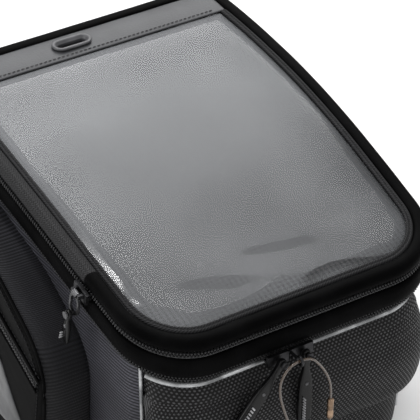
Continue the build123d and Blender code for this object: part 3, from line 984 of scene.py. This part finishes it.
def piping():
    run = [k for k in range(COUNT) if HIGH_LOOP[k][1] < -109.0]
    line = []
    for k in run:
        z = deck_z(HIGH_LOOP[k][1]) - 36.7
        line.append(wall_point(k, z, 1.5))
    settle(tube("reflective_piping_cord", line, 1.55, 4), SILVER, "bag_body", "reflective_piping",
           "reflective_piping")
    for side, k in (("left", NEAR_RUN[0]), ("right", NEAR_RUN[-1])):
        line = []
        for j in range(26):
            z = 18.0 + (128.0 - 18.0) * j / 25
            line.append(wall_point(k, z, 1.6))
        cord = tube(side + "_corner_piping_cord", line, 1.05, 4)
        settle(cord, SILVER, "bag_body", "reflective_piping", side + "_corner_piping")


POCKET_OUTLINE = ((-54, 24), (-59, 96), (-46, 116), (-4, 140), (45, 152), (100, 156), (104, 24))
POCKET_CENTRE = (22.0, 88.0)


def rounded_outline(points, radius, steps=6):
    """The outline's corners rounded, as evenly spaced places."""
    places = []
    for n, corner in enumerate(points):
        here = Vector(corner)
        back = (Vector(points[n - 1]) - here).normalized() * radius
        on = (Vector(points[(n + 1) % len(points)]) - here).normalized() * radius
        for i in range(steps + 1):
            t = i / steps
            a, b = here + back, here + on
            places.append(a.lerp(here, t).lerp(here.lerp(b, t), t))
    ends = places + [places[0]]
    lengths = [0.0]
    for a, b in zip(ends, ends[1:]):
        lengths.append(lengths[-1] + (b - a).length)
    even, count, at = [], 96, 0
    for i in range(count):
        goal = lengths[-1] * i / count
        while lengths[at + 1] < goal:
            at += 1
        t = (goal - lengths[at]) / max(lengths[at + 1] - lengths[at], 1e-9)
        even.append(ends[at].lerp(ends[at + 1], t))
    return even


def pocket_front(y, z):
    """How far out the side pocket's face stands."""
    slope = tan(radians(24.0))
    off_zip = (z - (111.0 + slope * y)) * cos(radians(24.0))
    near_zip = 1 - smooth_step(5.0, 16.0, abs(off_zip))
    belly = 1.6 * smooth_step(10, -40, off_zip) + 0.9 * ripple(0, y, z, 34.0, 4.0)
    return POCKET_X - 0.6 + (1 - near_zip) * belly


def side_pocket(side, sign):
    """A stiff pocket with a smooth face, a ribbed gusset in painted shade, a cord round its edge and a
    stitched seam.
    """
    outline = rounded_outline(POCKET_OUTLINE, 12.0)
    centre = Vector(POCKET_CENTRE)
    stations = [(1.0, 99.0), (1.0, 108.0), (1.0, 116.0), (0.998, 121.5), (0.985, 126.5), (0.955, 130.0)]
    stations += [(scale, None) for scale in (0.91, 0.84, 0.72, 0.58, 0.44, 0.3, 0.16, 0.0)]
    rows = []
    for scale, x in stations:
        row = []
        for place in outline + [outline[0]]:
            p = centre + (place - centre) * scale
            tuck = 1.2 * ripple(p.x, p.y, 40.0 * scale, 24.0, 6.0) if x and x > 100 else 0.0
            depth = (x + 0.6 * tuck) if x else min(pocket_front(p.x, p.y), POCKET_X + 2.4)
            p = p + (place - centre).normalized() * tuck * 0.7
            row.append((sign * depth, p.x, p.y))
        rows.append(row)
    obj = cloth_grid(side + "_side_pocket", rows, closed=True, inside=(sign * 60, 22, 88))
    shell(obj, 2.0)
    settle(obj, BODY_BLACK, "bag_body", "ribbed_fabric", side + "_pocket")
    # The gusset's faces get the ribbed nylon in painted shade; the face stays smooth black.
    obj.data.materials.append(SHADED_GUSSET.material)
    for polygon in obj.data.polygons:
        polygon.material_index = int(abs(polygon.center.x) < 0.1295)
    edge = []
    for place in outline + [outline[0]]:
        p = centre + (place - centre) * 0.975
        edge.append((sign * 129.9, p.x, p.y))
    settle(tube(side + "_pocket_edge_cord", edge, 1.0, 3), BODY_BLACK, "bag_body", "ribbed_fabric")
    seam = []
    for place in outline + [outline[0]]:
        p = centre + (place - centre) * 0.9
        seam.append((sign * (pocket_front(p.x, p.y) + 0.1), p.x, p.y))
    stitches = row_of(side + "_pocket_seam_stitches", (2.0, 0.6, 0.6), 3.0, seam, 0.35)
    settle(stitches, THREAD, "bag_body", "ribbed_fabric")


def pocket_zip(side, sign):
    """The slanting pocket zip: two tapes, a double row of turns, and a fabric flap edge above and below."""
    slope = radians(24.0)

    def at(s, off, out):
        y = s * cos(slope) - off * sin(slope)
        z = 111.0 + s * sin(slope) + off * cos(slope)
        return (sign * (POCKET_X + out), y, z)

    rows = [[at(-55 + 110 * i / 40, off, out) for i in range(41)] for off, out in
            ((-5.2, -0.5), (-3.5, 0.25), (-1.2, 0.45), (0, 0.4), (1.2, 0.45), (3.5, 0.25), (5.2, -0.5))]
    tape = cloth_grid(side + "_pocket_zip_tape", rows, inside=(sign * 60, 0, 111))
    shell(tape, 0.6)
    settle(tape, TAPE, "bag_body", "zip_tape", side + "_pocket_zip")
    for n, off in enumerate((-0.75, 0.75)):
        way = [at(-54 + 108 * i / 40, off, 0.75) for i in range(41)]
        turns = row_of(f"{side}_pocket_zip_turns_{n}", (1.1, 1.0, 1.45), 2.0, way, 0.32, float(n))
        settle(turns, COIL, "bag_body", "zip_coil")
    for n, off in enumerate((-5.0, 5.0)):
        way = [at(-57 + 114 * i / 30, off, 0.2) for i in range(31)]
        lip = tube(f"{side}_pocket_zip_lip_{n}", way, 0.9, 3)
        settle(lip, BODY_BLACK, "bag_body", "ribbed_fabric")
        way = []
        for i in range(31):
            s, beside = -55 + 110 * i / 30, off * 1.5
            _, y, z = at(s, beside, 0)
            way.append(at(s, beside, pocket_front(y, z) - POCKET_X + 0.1))
        stitches = row_of(f"{side}_pocket_zip_stitches_{n}", (2.0, 0.5, 0.5), 3.0, way, 0.35)
        settle(stitches, THREAD, "bag_body", "ribbed_fabric")


def gloss_panel(side, sign):
    """A glossy clear-coated panel under the pocket's zip."""
    outline = rounded_outline(((-40, 36), (-6, 84), (88, 116), (90, 36)), 9.0)
    centre = Vector((38.0, 66.0))
    rows = []
    for scale, out in ((1.0, -0.4), (1.0, 0.35), (0.985, 0.75), (0.93, 0.8), (0.8, 0.8), (0.6, 0.8),
                       (0.4, 0.8), (0.2, 0.8), (0.0, 0.8)):
        row = []
        for place in outline + [outline[0]]:
            p = centre + (place - centre) * scale
            out_here = pocket_front(p.x, p.y) + out + 0.3 * ripple(0, p.x, p.y, 12.0, 9.0)
            row.append((sign * out_here, p.x, p.y))
        rows.append(row)
    obj = cloth_grid(side + "_gloss_panel_skin", rows, closed=True, inside=(sign * 60, 38, 66))
    shell(obj, 0.6)
    settle(obj, GLOSS, "bag_body", "gloss_panel", side + "_pocket_gloss_panel")


# ---------------------------------------------------------------------------------------------
# Handle
# ---------------------------------------------------------------------------------------------
def handle():
    """A webbing grip arched off the forward wall, with its ends sewn under two patches."""
    wall_y, half, rise = FAR_Y - 8.0, 58.0, 19.4
    rows = []
    for z in (HANDLE_ZS[0], 140.0, 145.0, 150.5, 156.0, 161.0, HANDLE_ZS[1]):
        curl = 0.7 if z in HANDLE_ZS else 0.0
        row = []
        for i in range(41):
            x = -half + 2 * half * i / 40
            y = wall_y - 2.0 + rise * (1 - (x / half) ** 2) ** 0.8
            row.append((x, y - curl, z))
        rows.append(row)
    strap = cloth_grid("carry_handle_webbing", rows, inside=(0, 100, 150))
    shell(strap, 2.6)
    settle(strap, WEBBING, "bag_body", "webbing", "carry_handle")
    pieces = []
    for x in (-67.0, 67.0):
        rows = []
        for z in (133.8, 135.0, 142.0, 150.5, 159.0, 166.0, 167.2):
            row = []
            for i in range(13):
                u = -8.0 + 16.0 * i / 12
                edge = 1.0 if abs(u) > 7.5 or z < 134.5 or z > 166.5 else 0.0
                row.append((x + u, FAR_Y - wall_inset(z) + 1.7 - edge, z))
            rows.append(row)
        patch = cloth_grid("handle_patch", rows, inside=(0, 100, 150))
        shell(patch, 1.6)
        pieces.append(patch)
    only(pieces[0])
    pieces[1].select_set(True)
    bpy.ops.object.join()
    pieces[0].name = "handle_patches_sewn"
    settle(pieces[0], BINDING, "bag_body", "binding_tape", "handle_patches")


# ---------------------------------------------------------------------------------------------
# Moulded pulls
# ---------------------------------------------------------------------------------------------
def soft_box(z, wide, thick, count=24):
    """One cross-section of a moulded bar: a rectangle with round corners."""
    row = []
    for i in range(count + 1):
        a = 2 * pi * i / count
        c, s = cos(a), sin(a)
        x = wide * abs(c) ** 0.45 * (1 if c >= 0 else -1)
        y = thick * abs(s) ** 0.45 * (1 if s >= 0 else -1)
        row.append((x, y, z))
    return row


def pull_grip(node, length, neck, tail, half, turn, rib_count, mirror_x=False):
    """A moulded pull on its joint: a round eye, a slim neck, a broad tail with a rivet and pale ribs."""
    shoulder = -0.3 * length
    sections = ((2.9, 0.7, 0.5), (2.5, 1.8, 0.8), (1.2, 2.7, 1.0), (-1.2, 2.7, 1.0), (-3.0, neck, 0.85),
                (shoulder + 2, neck * 0.95, 0.8), (shoulder - 2.5, tail * 0.93, 1.0),
                (-0.6 * length, tail, 1.0), (3.2 - length, tail, 1.0), (1.0 - length, tail * 0.93, 0.85),
                (-length, tail * 0.7, 0.5))
    rows = [soft_box(z, wide, half * thick) for z, wide, thick in sections]
    grip = cloth_grid(node + "_grip", rows, closed=True, inside=(0, 0, -length / 2))
    cap_ends(grip)
    subdivide(grip)
    front = -half - 0.1
    rib_top = 2.0 * rib_count + 1.6 - length
    ladder = [(-tail * 0.42, front, rib_top - 2.0 * i) for i in range(rib_count + 1)]
    ribs = row_of(node + "_grip_ribs", (1.0, 0.7, tail), 2.0, ladder, 0.3)
    rivet_z = -0.42 * length
    ring = [(1.25 * cos(a * pi / 8), 1.25 * sin(a * pi / 8)) for a in range(17)]
    dome = [[(x * k, front - up, rivet_z + z * k) for x, z in ring]
            for k, up in ((1.0, -0.4), (0.97, 0.15), (0.7, 0.45), (0.0, 0.55))]
    rivet = cloth_grid(node + "_grip_rivet", dome, closed=True, inside=(0, 4, rivet_z))
    if mirror_x:
        turn = Matrix.Scale(-1, 4, (1, 0, 0)) @ turn
    pivot = next(joint["pos_m"] for joint in frame["joints"] if joint["child"] == node)
    place = Matrix.Translation(pivot) @ turn
    for piece, paint, slot, nodes in ((grip, PULL, "pull_rubber", (node,)), (ribs, GRIP, "pull_rubber", ()),
                                      (rivet, WIRE_STEEL, "slider_metal", ())):
        piece.data.transform(place)
        if mirror_x:
            edit(piece, bpy.ops.mesh.flip_normals)
        settle(piece, paint, node, slot, *nodes)


def pulls():
    deck_turn = Matrix.Rotation(DECK_SLOPE, 4, "X") @ Matrix.Rotation(-pi / 2, 4, "Z")
    pocket_turn = (Matrix.Rotation(radians(24), 4, "X") @ Matrix.Rotation(pi / 2, 4, "Z")
                   @ Matrix.Rotation(radians(24), 4, "Y"))
    lean = Matrix.Rotation(radians(38), 4, "Y")
    straight = Matrix.Identity(4)
    pull_grip("main_pull_left", 50, 2.0, 4.8, 2.0, lean, 9)
    pull_grip("main_pull_right", 50, 2.0, 4.8, 2.0, straight, 9)
    pull_grip("map_pull", 24, 1.6, 3.6, 1.5, deck_turn, 3)
    for node, mirrored in (("left_pocket_pull", True), ("right_pocket_pull", False)):
        pull_grip(node, 32, 1.8, 4.3, 1.5, pocket_turn, 5, mirrored)


# ---------------------------------------------------------------------------------------------
# Folds of fabric that the lids hinge on
# ---------------------------------------------------------------------------------------------
def hinge_fold(name, low_depth, high_depth):
    """A strip of fabric along the forward edge, from one body to the next."""
    rows = []
    for depth, inset in ((low_depth, 2.6), (low_depth - 1.2, 0.9), ((low_depth + high_depth) / 2, 0.5),
                         (high_depth + 1.2, 0.9), (high_depth, 2.6)):
        rows.append([(x, FAR_Y - inset, deck_z(FAR_Y) - depth) for x in range(-84, 85, 4)])
    obj = cloth_grid(name, rows)
    shell(obj, 0.8)
    wear(obj, SMOOTH)
    top = deck_z(FAR_Y)
    start, end = [(0, HINGE_Y * MM, (top - depth) * MM) for depth in (low_depth, high_depth)]
    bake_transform(obj)


# ---------------------------------------------------------------------------------------------
# Build
# ---------------------------------------------------------------------------------------------
window_rim()
window_binding()
window_film()
forward_band()
grommet()
zips()
lid_side_band()
map_lining()
walls()
liner()
floor_board()
near_pocket()
piping()
for side, sign in (("left", -1), ("right", 1)):
    side_pocket(side, sign)
    pocket_zip(side, sign)
    gloss_panel(side, sign)
handle()
pulls()
hinge_fold("main_lid_fold", 31.5, 24.5)
hinge_fold("window_lid_fold", 15.0, 6.5)

CAD_PAINTS = {
    "map_pocket_board": BOARD, "base_plate": PLATE, "quick_release_ring": PLATE, "latch_bolt": LATCH,
    "ring_screws": SCREW, "main_slider_left": SLIDER, "main_slider_right": SLIDER, "map_slider": SLIDER,
    "left_pocket_slider": SLIDER, "right_pocket_slider": SLIDER, "map_slider_loop": WIRE_STEEL,
}
for node_name, paint in CAD_PAINTS.items():
    wear(frame["nodes"][node_name], paint)
